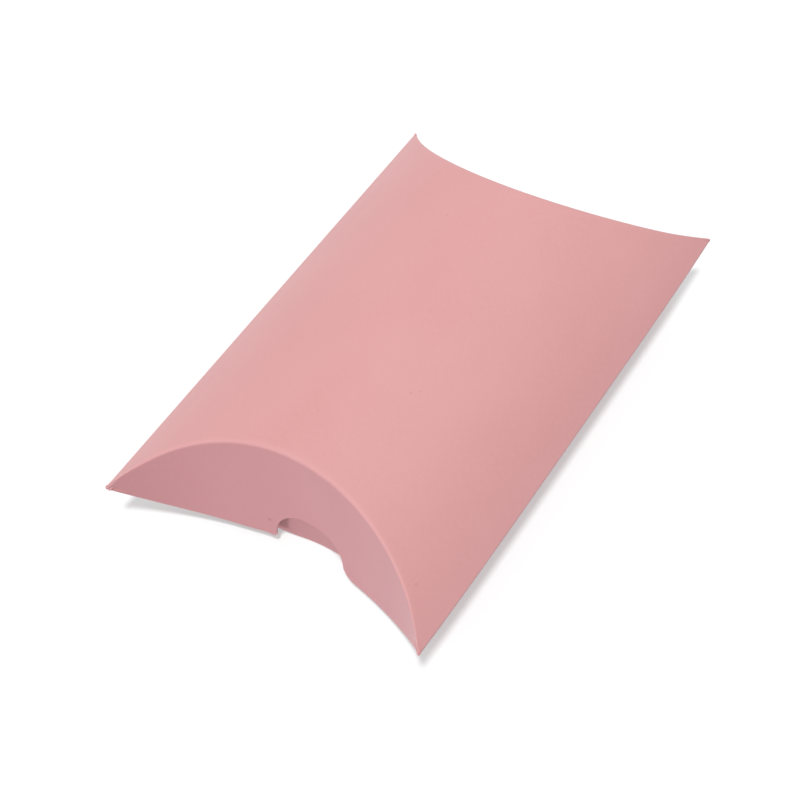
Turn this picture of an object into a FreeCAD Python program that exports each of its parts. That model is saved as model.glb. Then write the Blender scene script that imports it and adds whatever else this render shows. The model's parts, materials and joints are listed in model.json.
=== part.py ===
import FreeCAD, Part
import os

# Pillow box of folded card: two arched panels that meet in side folds, closed at both ends by curved flaps.
# +X runs across the width, +Y along the length, +Z up. The origin lies under the middle of the bottom arch.

DIMENSIONS = {
    "width": 70.0,  # between the two side folds
    "length": 105.0,  # between the corner tips at the two ends
    "rise": 14.0,  # height of each arch above the plane of the side folds
    "crease_depth": 16.0,  # how far the end creases curve in from the corner tips
    "card": 0.4,  # thickness of the card
    "glue": 0.2,  # space for glue between the tab and the top panel
    "glue_seat": 0.05,  # clearance of the glue film on each side
    "flap_gap": 0.3,  # running clearance between a flap's mitred edge and its panel
    "tip_gap": 3.5,  # width left free at each corner tip of an outer flap
    "free_edge_drop": 9.0,  # bow of an outer flap's free edge below the line of its corner tips
    "notch_width": 16.0,  # thumb notch in the outer flap
    "notch_depth": 10.0,  # thumb notch, from the lowest point of the free edge
    "inner_drop": 12.5,  # an inner flap's free edge is the arch moved down by this
    "fold_leg": 1.5,  # width of each leg of a side fold
    "raw_edge": 0.6,  # set-back of the top panel's cut edge from the seam fold
    "tab_width": 10.0,  # glue tab inside the top panel
    "tab_root_inset": 5.0,  # from the corner tips to the tab's ends at the seam fold
    "tab_edge_inset": 14.0,  # from the corner tips to the tab's ends at its inner edge
    "glue_margin": 1.0,  # tab border left free of glue
}

# Worked-out sizes, written as expressions on the sheet
ARCH_RADIUS = "((dims.width^2 / 4 + dims.rise^2) / (2 * dims.rise))"
ARCH_AXIS_DROP = f"({ARCH_RADIUS} - dims.rise)"
CREASE_ANGLE = "atan(dims.rise / dims.crease_depth)"
FLAP_LEAN = f"(90 deg - 2 * {CREASE_ANGLE})"
WALL_RADIUS = "((dims.width^2 / 4 + dims.crease_depth^2) / (2 * dims.crease_depth))"
FREE_EDGE_RADIUS = "((dims.width^2 / 4 + dims.free_edge_drop^2) / (2 * dims.free_edge_drop))"
PANEL_EDGE = "(dims.width / 2 - dims.fold_leg)"
TAB_RADIUS = f"({ARCH_RADIUS} - dims.card - dims.glue)"

X_AXIS = FreeCAD.Vector(1, 0, 0)
Y_AXIS = FreeCAD.Vector(0, 1, 0)
Z_AXIS = FreeCAD.Vector(0, 0, 1)
FRONT, BACK = -1, 1
TOP, BOTTOM = 1, -1

doc = FreeCAD.newDocument("pillow_box")
sheet = doc.addObject("Spreadsheet::Sheet", "dims")
for row, (alias, value) in enumerate(DIMENSIONS.items(), start=1):
    sheet.set(f"A{row}", alias)
    sheet.set(f"B{row}", str(value))
    sheet.setAlias(f"B{row}", alias)
doc.recompute()


def bind(feature, expressions):
    """Ties properties of a feature to expressions on the sheet."""
    for path, expression in expressions.items():
        feature.setExpression(path, expression)


def turned(axis, angle):
    """Placement at the origin, turned about one axis by an angle in degrees."""
    return FreeCAD.Placement(FreeCAD.Vector(0, 0, 0), FreeCAD.Rotation(axis, angle))


def boolean(kind, name, base, tool):
    """Part::Cut or Part::Common of two features."""
    feature = doc.addObject(f"Part::{kind}", name)
    feature.Base = base
    feature.Tool = tool
    return feature


def cut_all(name, base, tools):
    """Base with every tool cut away in turn."""
    for count, tool in enumerate(tools):
        base = boolean("Cut", f"{name}_cut{count}", base, tool)
    return base


def block(name, x_low, x_high, z_low, z_high):
    """Box over the whole length, with its sides at the given expressions."""
    box = doc.addObject("Part::Box", name)
    bind(box, {
        "Length": f"{x_high} - ({x_low})",
        "Width": "dims.length + 2 * dims.width",
        "Height": f"{z_high} - ({z_low})",
        "Placement.Base.x": x_low,
        "Placement.Base.y": "-dims.length / 2 - dims.width",
        "Placement.Base.z": z_low,
    })
    return box


def arch(name, radius, side):
    """Round bar along Y whose crown is an arch of the top or bottom panel."""
    bar = doc.addObject("Part::Cylinder", name)
    bar.Placement = turned(X_AXIS, 90)
    bind(bar, {
        "Radius": radius,
        "Height": "dims.length",
        "Placement.Base.y": "dims.length / 2",
        "Placement.Base.z": f"{-side} * {ARCH_AXIS_DROP}",
    })
    return bar


def crease_prism(name, end, side, shrink):
    """Bar square to an end crease's plane; its outline there is the crease itself, drawn in by shrink."""
    ellipse = doc.addObject("Part::Ellipse", f"{name}_ellipse")
    ellipse.Placement = turned(Z_AXIS, 90)
    bind(ellipse, {
        "MajorRadius": f"{ARCH_RADIUS} / sin({CREASE_ANGLE}) - {shrink}",
        "MinorRadius": f"{ARCH_RADIUS} - {shrink}",
    })
    slope = f"{side} * {CREASE_ANGLE}" if end == FRONT else f"{side} * (180 deg - {CREASE_ANGLE})"
    prism = doc.addObject("Part::Extrusion", name)
    prism.Base = ellipse
    prism.DirMode = "Normal"
    prism.Solid = True
    prism.Placement = turned(X_AXIS, 1)
    bind(prism, {
        "LengthFwd": "2 * dims.rise",
        "LengthRev": "2 * dims.rise",
        "Placement.Rotation.Angle": slope,
        "Placement.Base.y": f"{end} * (dims.length / 2 + {ARCH_AXIS_DROP} * dims.crease_depth / dims.rise)",
        "Placement.Base.z": f"{-side} * {ARCH_AXIS_DROP}",
    })
    return prism


def crease_prisms(name, sides):
    """Bars for the creases of the given sides at both ends."""
    prisms = []
    for side in sides:
        for end in (FRONT, BACK):
            prisms.append(crease_prism(f"{name}_crease{len(prisms)}", end, side, "0"))
    return prisms


def finish(feature, label, axis, angle):
    """Names a sub-part and places it from the plane of the side folds into the box."""
    feature.Label = label
    feature.Placement = turned(axis, angle)
    bind(feature, {"Placement.Base.z": "dims.rise"})
    return feature


def make_panel(label, left_edge, turn):
    """Arched panel with both ends cut along their creases; turn takes the top panel to the bottom."""
    shell = boolean("Cut", f"{label}_shell", arch(f"{label}_over", ARCH_RADIUS, TOP),
                    arch(f"{label}_under", f"{ARCH_RADIUS} - dims.card", TOP))
    span = block(f"{label}_span", left_edge, PANEL_EDGE, "0", "2 * dims.rise")
    panel = boolean("Common", f"{label}_arch", shell, span)
    return finish(cut_all(label, panel, crease_prisms(label, (TOP,))), label, Y_AXIS, turn)


def make_fold(label, upper_radius, x_low, x_high):
    """V-shaped strip of card that joins the panels along one side."""
    outside = boolean("Common", f"{label}_outside", arch(f"{label}_over", upper_radius, TOP),
                      arch(f"{label}_below", ARCH_RADIUS, BOTTOM))
    inside = boolean("Common", f"{label}_inside",
                     arch(f"{label}_over_in", f"{upper_radius} - dims.card", TOP),
                     arch(f"{label}_below_in", f"{ARCH_RADIUS} - dims.card", BOTTOM))
    tube = boolean("Cut", f"{label}_tube", outside, inside)
    strip = boolean("Common", f"{label}_strip", tube,
                    block(f"{label}_span", x_low, x_high, "-dims.rise", "dims.rise"))
    return finish(cut_all(label, strip, crease_prisms(label, (TOP, BOTTOM))), label, Y_AXIS, 0)


def make_tab_layer(label, radius, thickness, margin):
    """Layer under the top panel at the seam, in plan a strip with slanted ends."""
    shell = boolean("Cut", f"{label}_shell", arch(f"{label}_over", radius, TOP),
                    arch(f"{label}_under", f"{radius} - {thickness}", TOP))
    plan = doc.addObject("Part::Wedge", f"{label}_plan")
    plan.Placement = turned(Z_AXIS, -90)
    root_half = f"(dims.length / 2 - dims.tab_root_inset - {margin})"
    edge_half = f"(dims.length / 2 - dims.tab_edge_inset - {margin})"
    bind(plan, {
        "Xmin": f"-{root_half}", "Xmax": root_half, "X2min": f"-{edge_half}", "X2max": edge_half,
        "Ymin": "0", "Ymax": f"dims.tab_width - {margin}",
        "Zmin": "0", "Zmax": "2 * dims.rise", "Z2min": "0", "Z2max": "2 * dims.rise",
        "Placement.Base.x": f"-{PANEL_EDGE}",
    })
    return finish(boolean("Common", label, shell, plan), label, Y_AXIS, 0)


def leaning_bar(name, radius):
    """Round bar whose side is the surface of an outer flap, on the outside of the front end."""
    bar = doc.addObject("Part::Cylinder", name)
    bar.Placement = turned(X_AXIS, -1)
    bind(bar, {
        "Radius": radius,
        "Height": "4 * dims.rise",
        "Placement.Rotation.Angle": f"-{FLAP_LEAN}",
        "Placement.Base.y": f"-dims.length / 2 - {ARCH_AXIS_DROP} * cos({FLAP_LEAN})"
                            f" - 2 * dims.rise * sin({FLAP_LEAN})",
        "Placement.Base.z": f"{ARCH_AXIS_DROP} * sin({FLAP_LEAN}) - 2 * dims.rise * cos({FLAP_LEAN})",
    })
    return bar


def square_to_flap(feature, height):
    """Turns a feature's Z axis inward, square to the outer flap, at a height above its corner line."""
    feature.Placement = turned(X_AXIS, -91)
    start = "-2 * dims.rise"
    bind(feature, {
        "Placement.Rotation.Angle": f"-(90 deg + {FLAP_LEAN})",
        "Placement.Base.y": f"-dims.length / 2 + {start} * cos({FLAP_LEAN}) + ({height}) * sin({FLAP_LEAN})",
        "Placement.Base.z": f"-({start}) * sin({FLAP_LEAN}) + ({height}) * cos({FLAP_LEAN})",
    })


def notch_tools(label):
    """Round and straight parts of the thumb notch."""
    centre_height = "dims.notch_depth - dims.free_edge_drop - dims.notch_width / 2"
    bow = doc.addObject("Part::Cylinder", f"{label}_notch_bow")
    square_to_flap(bow, centre_height)
    bind(bow, {"Radius": "dims.notch_width / 2", "Height": "6 * dims.rise"})
    mouth = doc.addObject("Part::Box", f"{label}_notch_mouth")
    square_to_flap(mouth, centre_height)
    bind(mouth, {"Length": "dims.notch_width", "Width": "dims.width / 2", "Height": "6 * dims.rise",
                 "Placement.Base.x": "-dims.notch_width / 2"})
    return [bow, mouth]


def make_outer_flap(label, turn):
    """Leaning flap that hangs from the top panel, with a bowed free edge and a thumb notch."""
    shell = boolean("Cut", f"{label}_shell", leaning_bar(f"{label}_back", f"{ARCH_RADIUS} + dims.card"),
                    leaning_bar(f"{label}_face", ARCH_RADIUS))
    hung = boolean("Common", f"{label}_hung", shell,
                   crease_prism(f"{label}_crease", FRONT, TOP, "dims.flap_gap"))
    lens = doc.addObject("Part::Cylinder", f"{label}_lens")
    square_to_flap(lens, f"{FREE_EDGE_RADIUS} - dims.free_edge_drop")
    bind(lens, {"Radius": FREE_EDGE_RADIUS, "Height": "6 * dims.rise"})
    bowed = boolean("Common", f"{label}_bowed", hung, lens)
    reach = "(dims.width / 2 - dims.tip_gap)"
    trimmed = boolean("Common", f"{label}_trimmed", bowed,
                      block(f"{label}_span", f"-{reach}", reach, "-2 * dims.rise", "2 * dims.rise"))
    return finish(cut_all(label, trimmed, notch_tools(label)), label, Z_AXIS, turn)


def upright_bar(name, radius):
    """Upright round bar whose side is the surface of an inner flap, on the outside of the front end."""
    bar = doc.addObject("Part::Cylinder", name)
    bind(bar, {
        "Radius": radius,
        "Height": "4 * dims.rise",
        "Placement.Base.y": f"-dims.length / 2 + dims.crease_depth - {WALL_RADIUS}",
        "Placement.Base.z": "-2 * dims.rise",
    })
    return bar


def make_inner_flap(label, turn):
    """Upright flap that rises from the bottom panel behind the outer flap."""
    shell = boolean("Cut", f"{label}_shell", upright_bar(f"{label}_back", f"{WALL_RADIUS} + dims.card"),
                    upright_bar(f"{label}_face", WALL_RADIUS))
    risen = boolean("Common", f"{label}_risen", shell,
                    crease_prism(f"{label}_crease", FRONT, BOTTOM, "dims.flap_gap"))
    edge = arch(f"{label}_edge", ARCH_RADIUS, TOP)
    bind(edge, {"Placement.Base.z": f"-{ARCH_AXIS_DROP} - dims.inner_drop"})
    return finish(boolean("Common", label, risen, edge), label, Z_AXIS, turn)


HALF_TURN = 180
sub_parts = [
    make_panel("top_panel", "(dims.raw_edge - dims.width / 2)", 0),
    make_panel("bottom_panel", f"-{PANEL_EDGE}", HALF_TURN),
    make_fold("side_fold", ARCH_RADIUS, PANEL_EDGE, "dims.width / 2"),
    make_fold("seam_fold", TAB_RADIUS, "-dims.width / 2", f"-{PANEL_EDGE}"),
    make_tab_layer("glue_tab", TAB_RADIUS, "dims.card", "0"),
    make_tab_layer("glue_film", f"({ARCH_RADIUS} - dims.card - dims.glue_seat)",
                   "(dims.glue - 2 * dims.glue_seat)", "dims.glue_margin"),
    make_outer_flap("front_outer_flap", 0),
    make_inner_flap("front_inner_flap", 0),
    make_outer_flap("back_outer_flap", HALF_TURN),
    make_inner_flap("back_inner_flap", HALF_TURN),
]
doc.recompute()

for feature in doc.Objects:
    if "Invalid" in feature.State or "Error" in feature.State:
        raise RuntimeError(f"{feature.Name} did not build: {feature.State}")

os.makedirs("parts", exist_ok=True)
for feature in sub_parts:
    if feature.Shape.isNull() or not feature.Shape.isValid():
        raise RuntimeError(f"{feature.Label} has no valid solid")
    if len(feature.Shape.Solids) != 1:
        raise RuntimeError(f"{feature.Label} is not one solid")
    feature.Shape.exportStep(f"parts/{feature.Label}.step")
    box = feature.Shape.optimalBoundingBox()
    print(f"{feature.Label}: {feature.Shape.Volume:.1f} mm3, x {box.XMin:.2f} to {box.XMax:.2f}, "
          f"y {box.YMin:.2f} to {box.YMax:.2f}, z {box.ZMin:.2f} to {box.ZMax:.2f}")
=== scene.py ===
import json
import logging
import math
from dataclasses import dataclass, field, fields
from enum import Enum
from typing import Any

import bpy
import numpy as np
from mathutils import Matrix, Vector

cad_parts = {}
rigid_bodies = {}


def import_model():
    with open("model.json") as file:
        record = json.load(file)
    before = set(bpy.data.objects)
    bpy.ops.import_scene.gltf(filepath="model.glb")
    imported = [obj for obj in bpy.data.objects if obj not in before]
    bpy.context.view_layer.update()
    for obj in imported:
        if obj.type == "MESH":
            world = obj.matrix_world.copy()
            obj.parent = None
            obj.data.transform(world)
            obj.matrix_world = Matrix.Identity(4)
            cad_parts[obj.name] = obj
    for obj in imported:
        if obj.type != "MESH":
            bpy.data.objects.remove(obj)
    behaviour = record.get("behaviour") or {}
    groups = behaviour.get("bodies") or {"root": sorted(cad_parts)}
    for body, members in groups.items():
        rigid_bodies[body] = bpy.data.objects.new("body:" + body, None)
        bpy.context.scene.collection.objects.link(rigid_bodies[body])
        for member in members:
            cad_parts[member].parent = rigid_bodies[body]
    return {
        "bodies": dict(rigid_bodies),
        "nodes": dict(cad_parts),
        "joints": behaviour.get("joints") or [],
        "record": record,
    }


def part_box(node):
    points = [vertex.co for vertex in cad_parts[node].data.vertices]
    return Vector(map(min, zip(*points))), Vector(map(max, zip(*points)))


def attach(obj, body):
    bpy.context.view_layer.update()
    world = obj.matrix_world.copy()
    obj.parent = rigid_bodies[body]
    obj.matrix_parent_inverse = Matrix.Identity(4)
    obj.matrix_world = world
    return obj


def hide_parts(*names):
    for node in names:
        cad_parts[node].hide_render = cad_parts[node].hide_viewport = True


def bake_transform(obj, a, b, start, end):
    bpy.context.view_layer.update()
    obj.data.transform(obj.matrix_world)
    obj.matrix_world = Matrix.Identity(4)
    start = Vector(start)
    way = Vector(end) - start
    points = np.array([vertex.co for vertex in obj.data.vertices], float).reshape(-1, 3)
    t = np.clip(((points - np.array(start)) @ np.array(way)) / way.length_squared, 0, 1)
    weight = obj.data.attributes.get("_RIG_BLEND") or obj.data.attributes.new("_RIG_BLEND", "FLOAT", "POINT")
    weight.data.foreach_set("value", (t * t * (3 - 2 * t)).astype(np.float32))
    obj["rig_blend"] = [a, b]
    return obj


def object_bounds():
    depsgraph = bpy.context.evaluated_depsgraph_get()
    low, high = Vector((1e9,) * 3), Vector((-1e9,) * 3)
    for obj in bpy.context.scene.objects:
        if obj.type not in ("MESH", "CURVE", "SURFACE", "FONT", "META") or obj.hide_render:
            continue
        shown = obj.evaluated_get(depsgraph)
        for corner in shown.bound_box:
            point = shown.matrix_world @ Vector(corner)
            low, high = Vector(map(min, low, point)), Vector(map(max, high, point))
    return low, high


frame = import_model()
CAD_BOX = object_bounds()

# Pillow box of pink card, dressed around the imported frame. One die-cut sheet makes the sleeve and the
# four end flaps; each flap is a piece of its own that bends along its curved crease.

MM = 0.001
SAME_PLACE = 1e-9  # metres within which two places count as one
COLUMN_STEP = 0.8 * MM  # spacing of a sheet's columns where nothing small happens
EDGE_ZONE = 1.0 * MM  # strip beside a cut or a fold
EDGE_STEP = 0.3 * MM  # spacing of columns in such a strip
NOISE_MEAN = 0.5  # middle value of a noise texture
Socket = bpy.types.NodeSocket
Array = np.ndarray
Pair = tuple[float, float]
Triple = tuple[float, float, float]
Colour = tuple[float, float, float, float]
log = logging.getLogger("pillow_box")


class End(Enum):
    """Open ends of the sleeve, as the sign of Y."""

    FRONT = -1
    BACK = 1


class Layer(Enum):
    """Panels with the flaps that hang from them, as the side of the fold plane that they are on."""

    OUTER = 1
    INNER = -1


class Slot(Enum):
    """Material slots of the record."""

    CARD = "card"
    GLUE = "glue"


class Mark(Enum):
    """Mesh attributes that the finishes read."""

    BLANK = "blank"
    # Paler card on worn creases and folds; along the end creases this is partly a painted highlight.
    SCORED = "scored"
    RAW = "raw"


@dataclass(frozen=True)
class BoxForm:
    """Sizes of the folded box in metres, and the curves that follow from them.

    Attributes:
        half_width: distance from the middle to where the panels' outer faces would meet.
        crease_depth: how far an end crease lies inside the line of the tips, at the crown.
        crease_reach: length of card that bends, on each side of an end crease.
        crease_taper, crease_least: stretch at the tips where that shrinks, and the share left there.
        fold_reach: distance from the corner at which a side fold begins to round.
        fold_loss: how far it stays inside the corner.
        front_bulge: scale of the front outer crease's inward bow between crown and tips.
        front_foot, front_foot_x, front_foot_reach: outward bow of the front inner crease, place, reach.
        back_ear, back_ear_power: ears at the back tips, and their narrowness.
        end_taper, end_taper_power: drawing in of the right side, and its narrowness at the ends.
    """

    half_width: float
    half_length: float
    rise: float
    crease_depth: float
    card: float = 0.4 * MM
    glue_gap: float = 0.2 * MM
    crease_reach: float = 0.65 * MM
    crease_taper: float = 6.0 * MM
    crease_least: float = 0.1
    fold_reach: float = 0.34 * MM
    fold_loss: float = 0.26 * MM
    front_bulge: float = 2.0 * MM
    front_foot: float = 0.5 * MM
    front_foot_x: float = -6.5 * MM
    front_foot_reach: float = 5.0 * MM
    back_shift: float = 0.25 * MM
    back_ear: float = 0.65 * MM
    back_ear_power: int = 8
    end_taper: float = 0.013
    end_taper_power: int = 4

    @classmethod
    def from_frame(cls, packed: dict[str, Any]) -> "BoxForm":
        """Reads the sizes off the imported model.


        Returns:
            The form whose hinges agree with the CAD model, and whose panels meet just outside
            the round side fold.
        """
        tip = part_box("side_fold")[1]
        hinge = next(joint for joint in packed["joints"] if joint["name"] == "front_outer_crease")
        return cls(
            half_width=tip.x + cls.fold_loss,
            half_length=tip.y,
            rise=hinge["pos_m"][2] / 2,
            crease_depth=tip.y + hinge["pos_m"][1],
        )

    @property
    def radius(self) -> float:
        """Radius of the panels' outer faces."""
        return (self.half_width**2 + self.rise**2) / (2 * self.rise)

    @property
    def axis_drop(self) -> float:
        """Distance of a panel's cylinder axis from the fold plane."""
        return self.radius - self.rise

    @property
    def tab_radius(self) -> float:
        """Radius of the glue tab's outer face, inside the top panel."""
        return self.radius - self.card - self.glue_gap

    @property
    def hinge_y(self) -> float:
        """Distance of the end flaps' hinges from the middle of the box."""
        return self.half_length - self.crease_depth

    @property
    def crease_angle(self) -> float:
        """Slope of the plane that an end crease lies in."""
        return math.atan2(self.rise, self.crease_depth)

    @property
    def half_arc(self) -> float:
        """Length of card from a panel's crown to the corner."""
        return self.radius * math.asin(self.half_width / self.radius)

    def arch(self, x: Array) -> Array:
        """Height of a panel's outer face above the fold plane."""
        return np.sqrt(self.radius**2 - x**2) - self.axis_drop

    def crease_y(self, x: Array, end: End, layer: Layer) -> Array:
        """Distance of an end crease from the middle of the box.

        Args:
            x: places across the box.
            end: the open end.
            layer: the panel whose crease it is.

        Returns:
            The distance at each place. The front creases are folded a little unevenly, and the back tips
            stand out like small ears.
        """
        plain = self.half_length - self.crease_depth * self.arch(x) / self.rise
        aside = np.abs(x) / self.half_width
        if end is End.BACK:
            return plain + self.back_shift + self.back_ear * aside**self.back_ear_power
        if layer is Layer.OUTER:
            return plain - self.front_bulge * aside**2 * (1 - aside**4)
        from_foot = (x - self.front_foot_x) / self.front_foot_reach
        return plain + self.front_foot * np.exp(-(from_foot**2))

    def narrowed(self, x: Array, y: Array) -> Array:
        """Places across the box, the right side drawn in a little towards its ends."""
        return x - np.maximum(x, 0.0) * self.end_taper * (y / self.half_length) ** self.end_taper_power

    def bend_reach(self, x: Array) -> Array:
        """Distance from an end crease over which the card bends, less towards the corner tips."""
        from_tip = (self.half_width - np.abs(x)) / self.crease_taper
        return self.crease_reach * np.clip(from_tip, self.crease_least, 1.0)

    def blank_u(self, x: Array, layer: Layer) -> Array:
        """Place across the flat blank of a line along a panel.

        Args:
            x: place of the line across the folded box.
            layer: the panel it lies on.

        Returns:
            Distance from the middle of the top panel, measured along the card.
        """
        along = self.radius * np.arcsin(x / self.radius)
        if layer is Layer.OUTER:
            return along
        return 2 * self.half_arc - along


@dataclass
class CardSheet:
    """A stretch of card as a grid of points on its outer face, with its thickness behind them."""

    name: str
    outer: Array
    normal: Array
    blank: Array
    # Paler card per point: wear, and along the end creases partly a painted highlight.
    scored: Array
    thickness: float
    sharp_above: float = math.radians(50)
    inside_wear: float = 0.3

    def build(self, finish: bpy.types.Material) -> bpy.types.Object:
        """Makes the closed shell of the stretch, with the marks that the finishes read.

        Args:
            finish: its material.

        Returns:
            The new object, linked to the scene.
        """
        rows, columns = self.scored.shape
        count = rows * columns
        index = np.arange(count).reshape(rows, columns)
        corners = [index[:-1, :-1], index[1:, :-1], index[1:, 1:], index[:-1, 1:]]
        front = np.stack(corners, -1).reshape(-1, 4)
        border = np.concatenate([index[:-1, 0], index[-1, :-1], index[:0:-1, -1], index[0, :0:-1]])
        after = np.roll(border, -1)
        rim = np.stack([after, border, border + count, after + count], -1)
        faces = np.concatenate([front, front[:, ::-1] + count, rim])
        outer = self.outer.reshape(-1, 3)
        inner = outer - self.thickness * self.normal.reshape(-1, 3)
        mesh = bpy.data.meshes.new(self.name)
        mesh.from_pydata(np.concatenate([outer, inner]).tolist(), [], faces.tolist())
        first = outer[front[0]]
        turn = np.cross(first[1] - first[0], first[3] - first[0])
        if turn @ self.normal.reshape(-1, 3)[0] < 0:
            mesh.flip_normals()
        mesh.polygons.foreach_set("use_smooth", np.ones(len(faces), bool))
        mesh.set_sharp_from_angle(angle=self.sharp_above)
        self._mark(mesh, len(front) * 2)
        mesh.materials.append(finish)
        piece = bpy.data.objects.new(self.name, mesh)
        bpy.context.scene.collection.objects.link(piece)
        return piece

    def _mark(self, mesh: bpy.types.Mesh, face_count: int) -> None:
        """Writes the marks that the finishes read.

        Args:
            mesh: the shell.
            face_count: number of its faces that aren't cut edges.
        """
        flat = self.blank.reshape(-1, 2)
        place = np.zeros((2 * len(flat), 3), np.float32)
        place[:, :2] = np.concatenate([flat, flat])
        place[len(flat):, 2] = self.thickness
        highlight_and_wear_faces = np.outer([1.0, self.inside_wear], self.scored).astype(np.float32)
        cut = np.zeros(len(mesh.polygons), np.float32)
        cut[face_count:] = 1.0
        for mark, kind, domain, key, values in (
            (Mark.BLANK, "FLOAT_VECTOR", "POINT", "vector", place),
            (Mark.SCORED, "FLOAT", "POINT", "value", highlight_and_wear_faces),
            (Mark.RAW, "FLOAT", "FACE", "value", cut),
        ):
            attribute = mesh.attributes.new(mark.value, kind, domain)
            attribute.data.foreach_set(key, values.ravel())


@dataclass(frozen=True)
class Noise:
    """Settings of a noise texture: features per metre along each axis of the blank, and octaves."""

    stretch: Triple
    detail: float


class NodeSheet:
    """Small helper that writes shader nodes in one line each."""

    def __init__(self, owner: bpy.types.Material | bpy.types.World) -> None:
        """Starts with an empty node tree.

        Args:
            owner: material or world that the nodes belong to.
        """
        owner.use_nodes = True
        self.tree = owner.node_tree
        self.tree.nodes.clear()

    def add(self, kind: str, **settings: Any) -> bpy.types.Node:
        """Adds a node.

        Args:
            kind: Blender's name of the node type.
            settings: properties to set on it.

        Returns:
            The new node.
        """
        node = self.tree.nodes.new(kind)
        for key, value in settings.items():
            setattr(node, key, value)
        return node

    def link(self, source: Socket, target: Socket) -> None:
        """Joins two sockets."""
        self.tree.links.new(source, target)

    def feed(self, target: Socket, value: Any) -> None:
        """Links a socket or sets a constant, whichever the value is."""
        if isinstance(value, Socket):
            self.link(value, target)
        else:
            target.default_value = value

    def math(self, operation: str, first: Any, second: Any = 0.0, clamp: bool = False) -> Socket:
        """Adds a Math node.

        Args:
            operation: its operation.
            first: socket or number.
            second: socket or number.
            clamp: whether the result is held between 0 and 1.

        Returns:
            The result's socket.
        """
        node = self.add("ShaderNodeMath", operation=operation, use_clamp=clamp)
        self.feed(node.inputs[0], first)
        self.feed(node.inputs[1], second)
        return node.outputs[0]

    def ramp(self, value: Socket, factor: float, offset: float, clamp: bool = False) -> Socket:
        """Scales and shifts a value.

        Args:
            value: the value's socket.
            factor: what it is multiplied by.
            offset: what is then added.
            clamp: whether the result is held between 0 and 1.

        Returns:
            The result's socket.
        """
        result = self.math("MULTIPLY_ADD", value, factor, clamp)
        result.node.inputs[2].default_value = offset
        return result

    def mix(self, factor: Any, first: Any, second: Any) -> Socket:
        """Mixes two colours.

        Args:
            factor: share of the second colour.
            first: socket or colour.
            second: socket or colour.

        Returns:
            The mixed colour's socket.
        """
        node = self.add("ShaderNodeMix", data_type="RGBA")
        self.feed(node.inputs["Factor"], factor)
        self.feed(node.inputs[6], first)
        self.feed(node.inputs[7], second)
        return node.outputs[2]

    def mark(self, mark: Mark, output: str) -> Socket:
        """Reads one of the mesh's marks."""
        return self.add("ShaderNodeAttribute", attribute_name=mark.value).outputs[output]

    def noise(self, place: Socket, noise: Noise) -> Socket:
        """Adds noise on a stretched coordinate.

        Args:
            place: coordinate in metres.
            noise: settings of the texture.

        Returns:
            Socket with values about NOISE_MEAN.
        """
        mapping = self.add("ShaderNodeMapping")
        mapping.inputs["Scale"].default_value = noise.stretch
        self.link(place, mapping.inputs["Vector"])
        texture = self.add("ShaderNodeTexNoise")
        texture.inputs["Scale"].default_value = 1.0
        texture.inputs["Detail"].default_value = noise.detail
        self.link(mapping.outputs[0], texture.inputs["Vector"])
        return texture.outputs[0]

    def bump(self, shader: bpy.types.Node, height: Socket, depth: float) -> None:
        """Gives a shader a fine relief.

        Args:
            shader: the shader.
            height: the relief.
            depth: its depth in metres.
        """
        bump = self.add("ShaderNodeBump")
        bump.inputs["Distance"].default_value = depth
        self.link(height, bump.inputs["Height"])
        self.link(bump.outputs[0], shader.inputs["Normal"])

    def show(self, shader: bpy.types.Node) -> None:
        """Links a shader to the material's output."""
        output = self.add("ShaderNodeOutputMaterial")
        self.link(shader.outputs[0], output.inputs["Surface"])


def pigment(red: float, green: float, blue: float) -> Colour:
    """Colour of a shader socket, from linear red, green and blue."""
    return (red, green, blue, 1.0)


@dataclass(frozen=True)
class Fleck:
    """A dark fibre in the card, by its place on the flat blank in millimetres."""

    across: float
    along: float
    radius: float
    depth: float


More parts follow.
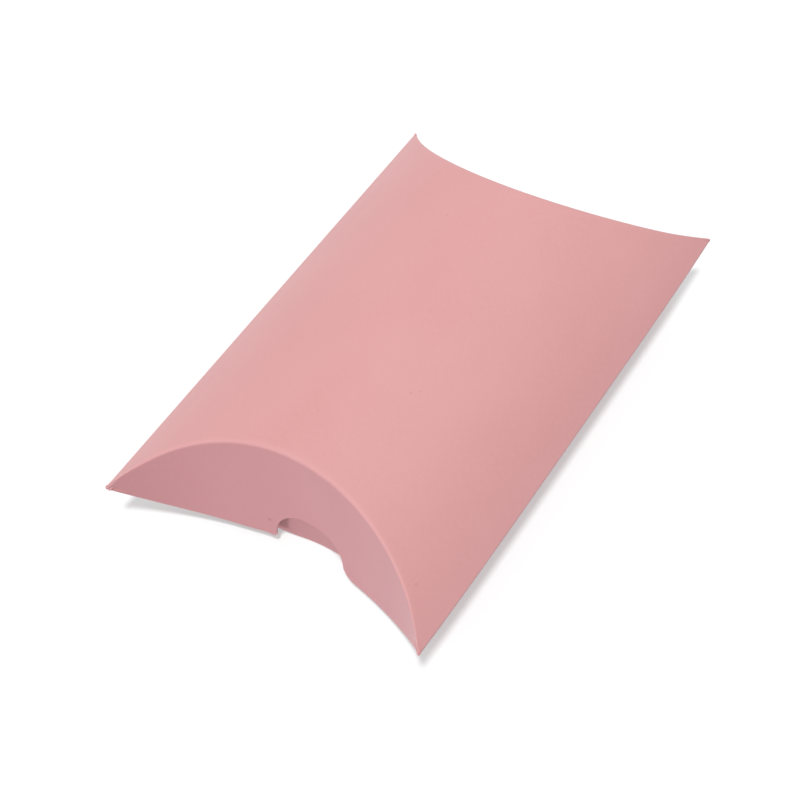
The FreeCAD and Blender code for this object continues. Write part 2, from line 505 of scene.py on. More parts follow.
@dataclass(frozen=True)
class CardFinish:
    """Matte card, dyed through, with fine fibres, soft clouding and paler creases, whose paler line along
    the end creases is partly a painted highlight.

    Attributes:
        cloud_ramp, fibre_ramp, wear_ramp: factor and offset that turn a noise into a share.
    """

    dye: Colour = pigment(0.775, 0.380, 0.378)
    cloud: Colour = pigment(0.745, 0.352, 0.350)
    fibre: Colour = pigment(0.81, 0.42, 0.415)
    # Pale colour of opened fibres on cut edges and worn creases, also used for the painted crease highlight.
    opened: Colour = pigment(0.87, 0.58, 0.57)
    fleck: Colour = pigment(0.42, 0.17, 0.17)
    flecks: tuple[Fleck, ...] = (
        Fleck(-7.46, -57.21, 0.55, 0.42),
        Fleck(-7.50, 25.15, 0.40, 0.14),
        Fleck(10.10, -14.32, 0.42, 0.16),
        Fleck(11.30, -13.20, 0.36, 0.12),
        Fleck(30.92, -43.13, 0.50, 0.15),
    )
    fleck_core: float = 0.3
    cloud_noise: Noise = Noise((70.0, 45.0, 70.0), 3.0)
    fibre_noise: Noise = Noise((3200.0, 900.0, 3200.0), 4.0)
    grain_noise: Noise = Noise((2400.0, 2400.0, 2400.0), 3.0)
    cloud_ramp: Pair = (2.0, -0.5)
    fibre_ramp: Pair = (3.0, -1.3)
    wear_ramp: Pair = (0.9, 0.15)
    fibre_share: float = 0.35
    raw_share: float = 0.45
    roughness: float = 0.52
    roughness_spread: float = 0.12
    sheen: float = 0.15
    sheen_roughness: float = 0.5
    grain_depth: float = 0.006 * MM

    def material(self) -> bpy.types.Material:
        """Builds the card's shader.

        Returns:
            The new material.
        """
        material = bpy.data.materials.new("card")
        nodes = NodeSheet(material)
        place = nodes.mark(Mark.BLANK, "Vector")
        clouds = nodes.noise(place, self.cloud_noise)
        fibres = nodes.noise(place, self.fibre_noise)
        grain = nodes.noise(place, self.grain_noise)
        cloudy = nodes.ramp(clouds, *self.cloud_ramp, clamp=True)
        colour = nodes.mix(cloudy, self.cloud, self.dye)
        hairs = nodes.ramp(fibres, *self.fibre_ramp, clamp=True)
        colour = nodes.mix(nodes.math("MULTIPLY", hairs, self.fibre_share), colour, self.fibre)
        for fleck in self.flecks:
            colour = nodes.mix(self._fleck_share(nodes, place, fleck, grain), colour, self.fleck)
        # Paler card on cut edges and worn creases; along the end creases this is partly a painted highlight.
        broken = nodes.ramp(grain, *self.wear_ramp)
        scored = nodes.math("MULTIPLY", nodes.mark(Mark.SCORED, "Fac"), broken, clamp=True)
        raw = nodes.math("MULTIPLY", nodes.mark(Mark.RAW, "Fac"), self.raw_share)
        colour = nodes.mix(nodes.math("MAXIMUM", scored, raw), colour, self.opened)
        shader = nodes.add("ShaderNodeBsdfPrincipled")
        nodes.link(colour, shader.inputs["Base Color"])
        smoothest = self.roughness - NOISE_MEAN * self.roughness_spread
        rough = nodes.ramp(grain, self.roughness_spread, smoothest)
        nodes.link(rough, shader.inputs["Roughness"])
        shader.inputs["Sheen Weight"].default_value = self.sheen
        shader.inputs["Sheen Roughness"].default_value = self.sheen_roughness
        nodes.bump(shader, nodes.math("ADD", grain, fibres), self.grain_depth)
        nodes.show(shader)
        return material

    def _fleck_share(self, nodes: NodeSheet, place: Socket, fleck: Fleck, grain: Socket) -> Socket:
        """Share of the fleck's colour near its place.

        Args:
            nodes: the shader being built.
            place: coordinate on the blank.
            fleck: the dark fibre.
            grain: noise that frays its rim.

        Returns:
            Socket with the share.
        """
        away = nodes.add("ShaderNodeVectorMath", operation="DISTANCE")
        nodes.link(place, away.inputs[0])
        away.inputs[1].default_value = (fleck.across * MM, fleck.along * MM, 0.0)
        near = nodes.add("ShaderNodeMapRange", interpolation_type="SMOOTHSTEP")
        nodes.link(away.outputs["Value"], near.inputs["Value"])
        near.inputs["From Min"].default_value = fleck.radius * MM
        near.inputs["From Max"].default_value = self.fleck_core * fleck.radius * MM
        near.inputs["To Max"].default_value = fleck.depth / NOISE_MEAN
        return nodes.math("MULTIPLY", near.outputs[0], grain, clamp=True)


@dataclass(frozen=True)
class GlueFinish:
    """Dried white glue, dull and slightly uneven."""

    film: Colour = pigment(0.86, 0.83, 0.74)
    thin: Colour = pigment(0.80, 0.66, 0.60)
    patch_noise: Noise = Noise((300.0, 150.0, 300.0), 3.0)
    roughness: float = 0.45
    roughness_spread: float = 0.3
    relief: float = 0.02 * MM

    def material(self) -> bpy.types.Material:
        """Builds the glue's shader.

        Returns:
            The new material.
        """
        material = bpy.data.materials.new("glue")
        nodes = NodeSheet(material)
        place = nodes.mark(Mark.BLANK, "Vector")
        patches = nodes.noise(place, self.patch_noise)
        shader = nodes.add("ShaderNodeBsdfPrincipled")
        nodes.link(nodes.mix(patches, self.thin, self.film), shader.inputs["Base Color"])
        smoothest = self.roughness - NOISE_MEAN * self.roughness_spread
        rough = nodes.ramp(patches, self.roughness_spread, smoothest)
        nodes.link(rough, shader.inputs["Roughness"])
        nodes.bump(shader, patches, self.relief)
        nodes.show(shader)
        return material


def stations(low: float, high: float, coarse: float, windows: list[Triple]) -> Array:
    """Places along a line, closer together inside the given windows.

    Args:
        low: first place.
        high: last place.
        coarse: spacing outside the windows.
        windows: start, end and spacing of each finer stretch, in order.

    Returns:
        Rising places from low to high.
    """
    stops = [low]
    steps = []
    for start, stop, fine in windows:
        stops += [max(start, low), min(stop, high)]
        steps += [coarse, fine]
    stops.append(high)
    steps.append(coarse)
    runs = []
    for start, stop, step in zip(stops[:-1], stops[1:], steps):
        if stop - start > SAME_PLACE:
            runs.append(np.linspace(start, stop, max(1, round((stop - start) / step)) + 1)[:-1])
    return np.append(np.concatenate(runs), high)


@dataclass
class Flap:
    """An end flap with its rounded crease, built at the front end and turned round for the back."""

    form: BoxForm
    end: End
    bend_rows: int = 8
    face_rows: int = 30
    row_crowding: float = 1.3
    # Paler band along the crease: partly crease whitening, partly a painted highlight.
    crease_wear: float = 0.13
    wear_reach: float = 1.5
    layer: Layer = field(init=False)
    columns: Array = field(init=False)

    @property
    def node(self) -> str:
        """CAD node that the piece stands for."""
        return f"{self.body}_flap"

    @property
    def body(self) -> str:
        """CAD body that the free edge moves with."""
        return f"{self.end.name.lower()}_{self.layer.name.lower()}"

    @property
    def fold(self) -> float:
        """Angle that the card turns through at the crease."""
        raise NotImplementedError

    def crease(self, x: Array) -> Array:
        """Distance of the flap's crease from the middle of the box."""
        return self.form.crease_y(x, self.end, self.layer)

    def drop(self, x: Array) -> Array:
        """Length of the flap from its crease to its free edge."""
        raise NotImplementedError

    def lean(self, x: Array) -> Array:
        """X component of the flap's outward normal."""
        raise NotImplementedError

    def weight(self, x: Array, run: Array) -> Array:
        """Share of the hinge's turn that a point takes.

        Args:
            x: places across the box.
            run: distances from the crease along the flap.

        Returns:
            The share at each point, with which the opened flap lies in line with its panel.
        """
        from_crown = self.form.rise - self.form.arch(x)
        fall = from_crown + run * math.sin(self.fold)
        out = self.crease(x) - self.form.hinge_y + run * math.cos(self.fold)
        return (np.arctan2(fall, out) - np.arcsin(from_crown / np.hypot(fall, out))) / self.fold

    def build(self, finish: bpy.types.Material) -> bpy.types.Object:
        """Makes the flap, joins it to the sleeve along its crease and to its body at the free edge.

        Args:
            finish: the card's material.

        Returns:
            The new piece.
        """
        x = self.columns
        reach = self.form.bend_reach(x)
        length = self.drop(x)
        bend = np.linspace(-1.0, 1.0, self.bend_rows + 1)
        share = np.linspace(0.0, 1.0, self.face_rows + 1)[1:] ** self.row_crowding
        run = np.concatenate([np.outer(bend, reach), reach + np.outer(share, length - reach)])
        turn = np.clip((run / reach + 1) / 2, 0.0, 1.0)
        bend_radius = reach / math.tan(self.fold / 2)
        angle = turn * self.fold
        beyond = np.maximum(run - reach, 0.0)
        out = -reach + bend_radius * np.sin(angle) + beyond * math.cos(self.fold)
        fall = bend_radius * (1 - np.cos(angle)) + beyond * math.sin(self.fold)
        side = self.layer.value
        across = np.broadcast_to(x, run.shape)
        facing = -self.end.value
        place = np.broadcast_to(facing * self.form.narrowed(facing * x, self.crease(x)), run.shape)
        height = self.form.rise + side * (self.form.arch(x) - fall)
        outer = np.stack([place, -self.crease(x) - out, height], -1)
        slant = (1 - turn) * (x / self.form.radius) + turn * self.lean(x)
        flat = np.sqrt(1 - slant**2)
        normal = np.stack([slant, -flat * np.sin(angle), side * flat * np.cos(angle)], -1)
        along = -facing * (self.crease(x) + run)
        blank = np.stack([self.form.blank_u(facing * across, self.layer), along], -1)
        # Paler band along the crease: partly crease whitening, partly a painted highlight.
        scored = self.crease_wear * np.clip(self.wear_reach - np.abs(run) / reach, 0.0, 1.0)
        weight = turn * self.weight(across, np.maximum(run, reach))
        if self.end is End.BACK:
            half_turn = np.array([-1.0, -1.0, 1.0])
            outer, normal = outer * half_turn, normal * half_turn
        sheet = CardSheet(f"{self.node}_card", outer, normal, blank, scored, self.form.card)
        piece = sheet.build(finish)
        self._hang(piece, np.tile(weight.ravel(), 2))
        return piece

    def _hang(self, piece: bpy.types.Object, weight: Array) -> None:
        """Bends the flap between the sleeve and its body.

        Args:
            piece: the flap.
            weight: share of the hinge's turn for each vertex.
        """
        crease = (0.0, self.end.value * self.crease(np.zeros(1))[0], self.form.rise)
        edge = (0.0, self.end.value * self.form.half_length, self.form.rise)
        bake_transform(piece, "sleeve", self.body, start=crease, end=edge)
        piece.data.attributes["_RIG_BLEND"].data.foreach_set("value", weight.astype(np.float32))
        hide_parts(self.node)


@dataclass
class OuterFlap(Flap):
    """Flap of the top panel, with a bowed free edge and a thumb notch.

    Heights of the edge and the notch are taken along the flap, from the line of the corner tips.

    Attributes:
        edge_drop, edge_skew, edge_fullness: depth of the free edge, its slant and the power of its bow.
        edge_lift, edge_lift_x, edge_lift_reach: a slight rise in it, its place and reach.
        notch_left, notch_peak, notch_right: ends and highest place of the notch, across the box.
        notch_fullness, notch_corners: powers of its arch and rounding of its corners, left and right.
    """

    side_margin: float = 0.36 * MM
    edge_drop: float = 10.0 * MM
    edge_skew: float = 1.55 * MM
    edge_fullness: float = 5.0
    edge_lift: float = 0.55 * MM
    edge_lift_x: float = -8.0 * MM
    edge_lift_reach: float = 3.2 * MM
    notch_left: float = -6.35 * MM
    notch_peak: float = 1.2 * MM
    notch_right: float = 9.15 * MM
    notch_top: float = -0.7 * MM
    notch_base: float = -8.3 * MM
    notch_fullness: Pair = (1.95, 2.6)
    notch_corners: Pair = (1.0 * MM, 2.8 * MM)
    tip_zone: float = 5.0 * MM
    tip_step: float = 0.2 * MM
    cut_zone: float = 0.6 * MM
    cut_step: float = 0.05 * MM
    notch_step: float = 0.25 * MM

    def __post_init__(self) -> None:
        """Sets the columns, closer together round the notch and at the corner tips."""
        self.layer = Layer.OUTER
        limit = self.form.half_width - self.side_margin
        tip = limit - self.tip_zone
        left, right = self.notch_left, self.notch_right
        self.columns = stations(-limit, limit, COLUMN_STEP, [
            (-limit, -tip, self.tip_step),
            (left - self.notch_corners[0], left + self.cut_zone, self.cut_step),
            (left + self.cut_zone, right - self.cut_zone, self.notch_step),
            (right - self.cut_zone, right + self.notch_corners[1], self.cut_step),
            (tip, limit, self.tip_step),
        ])

    @property
    def fold(self) -> float:
        """Angle that the card turns through at the crease."""
        return 2 * self.form.crease_angle

    def free_edge(self, x: Array) -> Array:
        """Outline of the free edge without the notch.

        Args:
            x: places across the box.

        Returns:
            Height above the line of the corner tips, along the flap.
        """
        aside = x / self.columns[-1]
        from_lift = (x - self.edge_lift_x) / self.edge_lift_reach
        lift = self.edge_lift * np.exp(-(from_lift**2))
        depth = self.edge_drop + self.edge_skew * aside
        return lift - depth * (1 - np.abs(aside) ** self.edge_fullness)

    def drop(self, x: Array) -> Array:
        """Length of the flap, with the notch cut out of it.

        Args:
            x: places across the box.

        Returns:
            Distance from the crease to the free edge or the notch.
        """
        edge = self.free_edge(x)
        left = x < self.notch_peak
        span = np.where(left, self.notch_peak - self.notch_left, self.notch_right - self.notch_peak)
        fullness = np.where(left, *self.notch_fullness)
        corner = np.where(left, *self.notch_corners)
        aside = np.abs(x - self.notch_peak)
        inside = np.clip(aside / span, 0.0, 1.0)
        bow = (1 - inside**fullness) ** (1 / fullness)
        notch = self.notch_base + (self.notch_top - self.notch_base) * bow
        past = np.clip((aside - span) / corner, 0.0, 1.0)
        rounded = np.minimum(edge + corner * (1 - np.sqrt(1 - (1 - past) ** 2)), self.notch_base)
        edge = np.where(inside < 1, notch, np.where(past < 1, rounded, edge))
        return self.form.crease_depth * self.form.arch(x) / self.form.rise - edge

    def lean(self, x: Array) -> Array:
        """X component of the flap's outward normal."""
        return -x / self.form.radius


@dataclass
class InnerFlap(Flap):
    """Upright flap of the bottom panel, behind the outer flap."""

    edge_below_arch: float = 12.5 * MM
    end_height: float = 1.1 * MM

    def __post_init__(self) -> None:
        """Sets the columns up to where the flap ends in short upright edges."""
        self.layer = Layer.INNER
        rise_there = (self.edge_below_arch + self.end_height) / 2
        limit = math.sqrt(self.form.radius**2 - (self.form.axis_drop + rise_there) ** 2)
        self.columns = stations(-limit, limit, COLUMN_STEP, [
            (-limit, EDGE_ZONE - limit, EDGE_STEP),
            (limit - EDGE_ZONE, limit, EDGE_STEP),
        ])

    @property
    def fold(self) -> float:
        """Angle that the card turns through at the crease."""
        return math.pi / 2

    def drop(self, x: Array) -> Array:
        """Length of the flap from its crease to its free edge."""
        return 2 * self.form.arch(x) - self.edge_below_arch

    def lean(self, x: Array) -> Array:
        """X component of the flap's outward normal."""
        slope = -x / np.sqrt(self.form.radius**2 - x**2) * self.form.crease_depth / self.form.rise
        return slope / np.sqrt(1 + slope**2)


@dataclass
class Section:
    """The sleeve's cross-section as a run of places on the outer face."""

    x: Array
    z: Array
    normal_x: Array
    normal_z: Array
    front: Array
    back: Array
    scored: Array
    blank: Array

    @classmethod
    def joined(cls, runs: list["Section"]) -> "Section":
        """Puts several runs end to end."""
        return cls(*[np.concatenate([getattr(run, item.name) for run in runs]) for item in fields(cls)])


@dataclass(frozen=True)
class Dent:
    """A faint nail mark pressed into the top panel, as a line on its plan in millimetres."""

    line: tuple[Pair, ...]
    half_width: float
    depth: float
    facing_up: float = 0.3

    def depth_at(self, points: Array, normal: Array) -> Array:
        """Depth of the mark.

        Args:
            points: places on the sheet's outer face.
            normal: outward normals there.

        Returns:
            Depth at each place, nothing on faces that look down.
        """
        plan = points[..., :2] / MM
        away = np.full(plan.shape[:-1], np.inf)
        for start, stop in zip(np.array(self.line[:-1]), np.array(self.line[1:])):
            step = stop - start
            share = np.clip((plan - start) @ step / (step @ step), 0.0, 1.0)
            away = np.minimum(away, np.linalg.norm(plan - start - share[..., None] * step, axis=-1))
        depth = self.depth * MM * np.exp(-((away / self.half_width) ** 2))
        return np.where(normal[..., 2] > self.facing_up, depth, 0.0)


@dataclass
class Sleeve:
    """The sheet between the end creases: top panel, side fold, bottom panel, seam fold and glue tab.

    Attributes:
        tab_tip_inset, tab_root_inset, tab_edge_inset: distances of the tab's ends from the corner tips.
        tab_root: distance from the middle of the line that the tab's width counts from.
        bend_wear, end_wear, fold_wear: wear on the side folds, wear and a painted highlight at the end
            creases, and wear beside the folds.
        row_step, plain_rows, end_rows: even rows, their end and the rows beyond, as shares.
        dent_rows: start, end and spacing of the rows round the nail mark.
    """

    form: BoxForm
    top_columns: Array
    bottom_columns: Array
    tab_width: float = 10.0 * MM
    tab_tip_inset: float = 0.5 * MM
    tab_root_inset: float = 3.5 * MM
    tab_edge_inset: float = 14.0 * MM
    tab_root: float = 33.5 * MM
    bend_steps: int = 8
    fold_clear: float = 0.1 * MM
    bend_wear: float = 0.3
    end_wear: float = 0.1
    fold_wear: float = 0.25
    fold_wear_reach: float = 0.35 * MM
    row_step: float = 0.03
    plain_rows: float = 0.93
    end_rows: tuple[float, ...] = (0.96, 0.975, 0.987, 0.9935, 1.0)
    dent_rows: Triple = (0.54, 0.66, 0.003)
    dents: tuple[Dent, ...] = (
        Dent(((30.65, 30.8), (31.52, 29.49), (32.47, 28.57), (33.68, 29.0)), 0.28, 0.035),
    )

    def build(self, finish: bpy.types.Material) -> bpy.types.Object:
        """Makes the sheet.

        Args:
            finish: the card's material.

        Returns:
            The new piece.
        """
        section = Section.joined(self.section())
        rows = self.rows()
        shape = (len(section.x), len(rows))
        reach = np.where(rows < 0, section.front[:, None], section.back[:, None])
        y = reach * rows
        x, z, normal_x, normal_z, blank_u = (
            np.broadcast_to(run[:, None], shape)
            for run in (section.x, section.z, section.normal_x, section.normal_z, section.blank)
        )
        outer = np.stack([self.form.narrowed(x, y), y, z], -1)
        normal = np.stack([normal_x, np.zeros(shape), normal_z], -1)
        blank = np.stack([blank_u, y], -1)
        from_end = reach * (1 - np.abs(rows))
        # Paler card at the end creases: wear and a painted highlight.
        end_wear = self.end_wear * np.clip(1 - from_end / self.form.crease_reach, 0.0, 1.0)
        scored = np.maximum(section.scored[:, None], end_wear)
        outer -= normal * sum(dent.depth_at(outer, normal) for dent in self.dents)[..., None]
        piece = CardSheet("sleeve_card", outer, normal, blank, scored, self.form.card).build(finish)
        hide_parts("top_panel", "bottom_panel", "side_fold", "seam_fold", "glue_tab")
        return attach(piece, "sleeve")

    @property
    def seam_x(self) -> float:
        """Left end of the bottom panel.

        Returns:
            X where it goes over into the seam fold.
        """
        form = self.form
        sink = (form.radius**2 - form.tab_radius**2) / (4 * form.axis_drop)
        return form.fold_reach - math.sqrt(form.radius**2 - (form.axis_drop + sink) ** 2)

    def tab_inset(self, x: Array) -> Array:
        """Distance of the glue tab's slanted ends from the corner tips, along the box."""
        return np.interp(x, [self.seam_x, -self.tab_root, self.tab_width - self.tab_root],
                         [self.tab_tip_inset, self.tab_root_inset, self.tab_edge_inset])

    def rows(self) -> Array:
        """Places of the sheet's rows along the length.

        Returns:
            Shares of the distance to the end creases, the front ones negative.
        """
        count = round(self.plain_rows / self.row_step)
        even = np.linspace(self.row_step, self.plain_rows, count)
        back = stations(0.0, self.plain_rows, self.row_step, [self.dent_rows])
        return np.concatenate([-np.append(even, self.end_rows)[::-1], back, self.end_rows])

    def section(self) -> list[Section]:
        """Cross-section of the sheet.

        Returns:
            Its runs, from the top panel's cut edge round to the glue tab's edge.
        """
        form = self.form
        fold_x = form.half_width - form.fold_reach
        top_x = np.append(self.top_columns, fold_x)
        flapped = np.append(np.ones_like(self.top_columns), 0.0)
        top = self._panel(top_x, Layer.OUTER, form.bend_reach(top_x) * flapped)
        seam_x = self.seam_x
        limit = self.bottom_columns[-1]
        bare = stations(limit, form.half_width, COLUMN_STEP, [(limit, limit + EDGE_ZONE, EDGE_STEP)])[1:]
        right = bare[bare < fold_x - self.fold_clear]
        left = bare[bare < -seam_x - self.fold_clear]
        bottom_x = np.concatenate([[fold_x], right[::-1], self.bottom_columns[::-1], -left, [seam_x]])
        flapped = np.abs(bottom_x) <= limit + SAME_PLACE
        bottom = self._panel(bottom_x, Layer.INNER, form.bend_reach(bottom_x) * flapped)
        return [top, self._side_fold(fold_x), bottom, self._seam_fold(), self._tab()]

    def _panel(self, x: Array, layer: Layer, short: Array) -> Section:
        """Run across a panel.

        Args:
            x: places across the box.
            layer: top or bottom panel.
            short: how far the card ends before the crease, to leave room for the flap's bend.

        Returns:
            The run.
        """
        form = self.form
        depth = np.sqrt(form.radius**2 - x**2)
        fold = np.exp(-(form.half_width - np.abs(x)) / self.fold_wear_reach)
        height = form.rise + layer.value * form.arch(x)
        front, back = (form.crease_y(x, end, layer) - short for end in End)
        return Section(x, height, x / form.radius, layer.value * depth / form.radius, front, back,
                       self.fold_wear * np.clip(fold, 0.0, 1.0), form.blank_u(x, layer))

    def _bend(self, start: Array, stop: Array, turn_from: float, turn_to: float,
              blank: float) -> Section:
        """Round fold of the card, clockwise seen from the front.

        Args:
            start: first point of the outer face.
            stop: last point.
            turn_from: direction of the normal at the start.
            turn_to: direction of the normal at the end, the smaller angle.
            blank: place on the flat blank.

        Returns:
            The run, without its first and last point.
        """
        angle = np.linspace(turn_from, turn_to, self.bend_steps + 1)
        ring = np.stack([np.cos(angle), np.sin(angle)], -1)
        chord = np.linalg.norm(stop - start)
        radius = chord / np.linalg.norm(ring[-1] - ring[0])
        points = start + radius * (ring - ring[0])
        points += np.outer(np.linspace(0.0, 1.0, len(angle)), stop - points[-1])
        points, ring = points[1:-1], ring[1:-1]
        steady = np.ones(len(points))
        edge = steady * start[0]
        front, back = (self.form.crease_y(edge, end, Layer.INNER) for end in End)
        return Section(points[:, 0], points[:, 1], ring[:, 0], ring[:, 1], front, back,
                       self.bend_wear * steady, blank * steady)

    def _side_fold(self, fold_x: float) -> Section:
        """Round fold on the right, between the panels.

        Args:
            fold_x: X where the panels go over into it.

        Returns:
            The run.
        """
        form = self.form
        height = form.arch(np.array([fold_x]))[0]
        slope = math.acos(fold_x / form.radius)
        high = np.array([fold_x, form.rise + height])
        low = np.array([fold_x, form.rise - height])
        return self._bend(high, low, slope, -slope, form.half_arc)

    def _seam_fold(self) -> Section:
        """Round fold on the left, between the bottom panel and the glue tab.

        Returns:
            The run.
        """
        form = self.form
        seam_x = self.seam_x
        low = np.array([seam_x, form.rise - form.arch(np.array([seam_x]))[0]])
        high = np.array([seam_x, form.rise + self._tab_height(np.array([seam_x]))[0]])
        turn_from = -math.acos(seam_x / form.radius)
        turn_to = math.acos(seam_x / form.tab_radius) - 2 * math.pi
        return self._bend(low, high, turn_from, turn_to, 3 * form.half_arc)

    def _tab_height(self, x: Array) -> Array:
        """Height of the glue tab's outer face above the fold plane."""
        return np.sqrt(self.form.tab_radius**2 - x**2) - self.form.axis_drop

    def _tab(self) -> Section:
        """Stretch across the glue tab.

        Returns:
            The run.
        """
        form = self.form
        seam_x = self.seam_x
        edge = self.tab_width - self.tab_root
        x = stations(seam_x, edge, COLUMN_STEP, [(seam_x, seam_x + EDGE_ZONE, EDGE_STEP)])
        reach = form.half_length - self.tab_inset(x)
        depth = np.sqrt(form.tab_radius**2 - x**2)
        blank = 3 * form.half_arc + (x - seam_x)
        return Section(x, form.rise + self._tab_height(x), x / form.tab_radius, depth / form.tab_radius,
                       reach, reach, np.zeros_like(x), blank)


@dataclass
class GlueLine:
    """Thin film of dried glue between the tab and the top panel, with a wavy outline."""

    sleeve: Sleeve
    thickness: float = 0.16 * MM
    panel_gap: float = 0.02 * MM
    root_x: float = -34.5 * MM
    edge_x: float = -24.5 * MM
    margin: float = 0.5 * MM
    wave: float = 0.3 * MM
    ripples: Pair = (23.0, 41.0)
    ripple_phase: float = 1.0
    ripple_share: float = 0.6
    end_rate: float = 11.0
    columns: int = 25
    rows: int = 121

    def build(self, finish: bpy.types.Material) -> bpy.types.Object:
        """Makes the film with wavy ends and sides.

        Args:
            finish: the glue's material.

        Returns:
            The new piece.
        """
        form = self.sleeve.form
        share = np.linspace(0.0, 1.0, self.columns)[:, None]
        rows = np.linspace(-1.0, 1.0, self.rows)[None, :]
        radius = form.radius - form.card - self.panel_gap
        slow, fast = self.ripples
        ripple = self.wave * (np.sin(slow * rows) + np.sin(fast * rows + self.ripple_phase)) / 2
        from_middle = np.maximum(2 * share - 1, 0.0)
        x = self.root_x + share * (self.edge_x - self.root_x) + ripple * from_middle * self.ripple_share
        reach = form.half_length - self.sleeve.tab_inset(x) - self.margin
        y = rows * (reach + self.wave * np.sin(self.end_rate * share))
        depth = np.sqrt(radius**2 - x**2)
        outer = np.stack([form.narrowed(x, y), y, form.rise + depth - form.axis_drop], -1)
        normal = np.stack([x / radius, np.zeros_like(x), depth / radius], -1)
        unworn = np.zeros_like(x)
        film = CardSheet("glue_line", outer, normal, outer[..., :2], unworn, self.thickness)
        piece = film.build(finish)
        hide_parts("glue_film")
        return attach(piece, "sleeve")


class Lit(Enum):
    """What a lamp lights: the box alone, or the floor alone for its thin shadow."""

    BOX = "EXCLUDE"
    FLOOR = "INCLUDE"


@dataclass(frozen=True)
class Lamp:
    """A soft distant light."""

    name: str
    lit: Lit
    direction: Triple
    strength: float
    spread: float
    colour: Triple = (1.0, 1.0, 1.0)

    def build(self, floor: bpy.types.Object) -> None:
        """Adds the light to the scene.

        Args:
            floor: the object that the lamp leaves out or lights alone.
        """
        data = bpy.data.lights.new(self.name, "SUN")
        data.energy = self.strength
        data.angle = self.spread
        data.color = self.colour
        light = bpy.data.objects.new(self.name, data)
        light.rotation_mode = "QUATERNION"
        light.rotation_quaternion = Vector(self.direction).to_track_quat("Z", "Y")
        receivers = bpy.data.collections.new(f"{self.name}_receivers")
        receivers.objects.link(floor)
        receivers.collection_objects[0].light_linking.link_state = self.lit.value
        light.light_linking.receiver_collection = receivers
        bpy.context.scene.collection.objects.link(light)


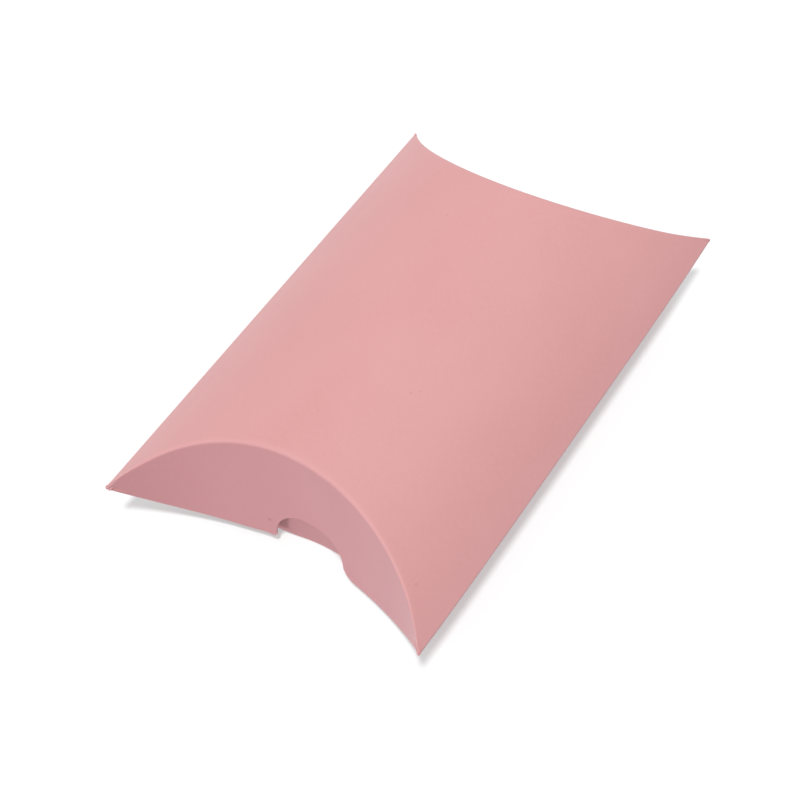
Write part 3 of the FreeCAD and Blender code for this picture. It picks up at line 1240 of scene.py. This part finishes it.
@dataclass
class Studio:
    """White floor, soft light and the camera at the photograph's viewing angle."""

    azimuth: float = math.radians(43.00)
    elevation: float = math.radians(51.505)
    roll: float = math.radians(11.89)
    eye: Triple = (125.21 * MM, -140.98 * MM, 240.86 * MM)
    lens: float = 69.79
    sensor: float = 36.0
    near_clip: float = 10.0 * MM
    floor_size: float = 6.0
    floor_gap: float = 0.02 * MM
    floor_shown: Triple = (0.58, 0.60, 0.60)
    floor_bounce: Triple = (0.37, 0.32, 0.40)
    floor_glow: float = 0.40
    surround: float = 0.50
    surround_shown: float = 1.05
    surround_tint: Triple = (1.0, 0.985, 0.98)
    lamps: tuple[Lamp, ...] = (
        Lamp("key_light", Lit.BOX, (0.03, 0.0, 1.0), 1.28, math.radians(30)),
        Lamp("front_light", Lit.BOX, (-0.22, -0.85, 0.30), 0.70, math.radians(13), (1.0, 0.94, 1.0)),
        Lamp("shadow_light", Lit.FLOOR, (0.27, -0.277, 1.0), 2.3, math.radians(7)),
    )

    def build(self) -> None:
        """Sets the floor, the lights, the world and the camera."""
        floor = self._floor()
        for lamp in self.lamps:
            lamp.build(floor)
        self._world()
        self._camera()
        bpy.context.scene.view_settings.view_transform = "Standard"

    def _floor(self) -> bpy.types.Object:
        """Lays a plain pale floor that shows white and keeps the shadow.

        Returns:
            The floor.
        """
        half = self.floor_size / 2
        level = CAD_BOX[0].z - self.floor_gap
        plan = ((-half, -half), (half, -half), (half, half), (-half, half))
        mesh = bpy.data.meshes.new("floor")
        mesh.from_pydata([(*corner, level) for corner in plan], [], [(0, 1, 2, 3)])
        floor = bpy.data.objects.new("floor", mesh)
        bpy.context.scene.collection.objects.link(floor)
        material = bpy.data.materials.new("floor")
        nodes = NodeSheet(material)
        diffuse = nodes.add("ShaderNodeBsdfDiffuse")
        seen = self._seen(nodes)
        tint = nodes.mix(seen, pigment(*self.floor_bounce), pigment(*self.floor_shown))
        nodes.link(tint, diffuse.inputs["Color"])
        glow = nodes.add("ShaderNodeEmission")
        nodes.link(nodes.math("MULTIPLY", seen, self.floor_glow), glow.inputs["Strength"])
        both = nodes.add("ShaderNodeAddShader")
        nodes.link(diffuse.outputs[0], both.inputs[0])
        nodes.link(glow.outputs[0], both.inputs[1])
        nodes.show(both)
        floor.data.materials.append(material)
        return floor

    @staticmethod
    def _seen(nodes: NodeSheet) -> Socket:
        """Tells rays that show the background: straight, reflected or through glass.

        Args:
            nodes: the shader being built.

        Returns:
            Socket that is one for these rays and zero for all others.
        """
        path = nodes.add("ShaderNodeLightPath")
        glossy = nodes.math("MAXIMUM", path.outputs["Is Camera Ray"], path.outputs["Is Glossy Ray"])
        return nodes.math("MAXIMUM", glossy, path.outputs["Is Transmission Ray"])

    def _world(self) -> None:
        """Sets an even white surround."""
        world = bpy.data.worlds.new("surround")
        bpy.context.scene.world = world
        nodes = NodeSheet(world)
        background = nodes.add("ShaderNodeBackground")
        background.inputs["Color"].default_value = pigment(*self.surround_tint)
        lift = nodes.ramp(self._seen(nodes), self.surround_shown - self.surround, self.surround)
        nodes.link(lift, background.inputs["Strength"])
        output = nodes.add("ShaderNodeOutputWorld")
        nodes.link(background.outputs[0], output.inputs["Surface"])

    def _camera(self) -> None:
        """Sets the camera at the photograph's place, angle and lens."""
        pan, tilt = self.azimuth, self.elevation
        level = Vector((math.cos(pan), math.sin(pan), 0.0))
        ahead = Vector((-math.sin(pan) * math.cos(tilt), math.cos(pan) * math.cos(tilt),
                        -math.sin(tilt)))
        upright = level.cross(ahead)
        right = math.cos(self.roll) * level - math.sin(self.roll) * upright
        up = math.cos(self.roll) * upright + math.sin(self.roll) * level
        data = bpy.data.cameras.new("camera")
        data.sensor_width = self.sensor
        data.lens = self.lens
        data.clip_start = self.near_clip
        camera = bpy.data.objects.new("camera", data)
        turn = Matrix((right, up, -ahead)).transposed().to_4x4()
        camera.matrix_world = Matrix.Translation(self.eye) @ turn
        bpy.context.scene.collection.objects.link(camera)
        bpy.context.scene.camera = camera


def main() -> None:
    """Builds the sleeve, the glue line, the flaps and the studio."""
    logging.basicConfig(level=logging.INFO, format="%(name)s: %(message)s")
    form = BoxForm.from_frame(frame)
    card = CardFinish().material()
    glue = GlueFinish().material()
    outer = OuterFlap(form, End.FRONT)
    inner = InnerFlap(form, End.FRONT)
    sleeve = Sleeve(form, outer.columns, inner.columns)
    sleeve.build(card)
    GlueLine(sleeve).build(glue)
    for flap in (outer, inner, OuterFlap(form, End.BACK), InnerFlap(form, End.BACK)):
        flap.build(card)
    Studio().build()


if __name__ == "__main__":
    main()
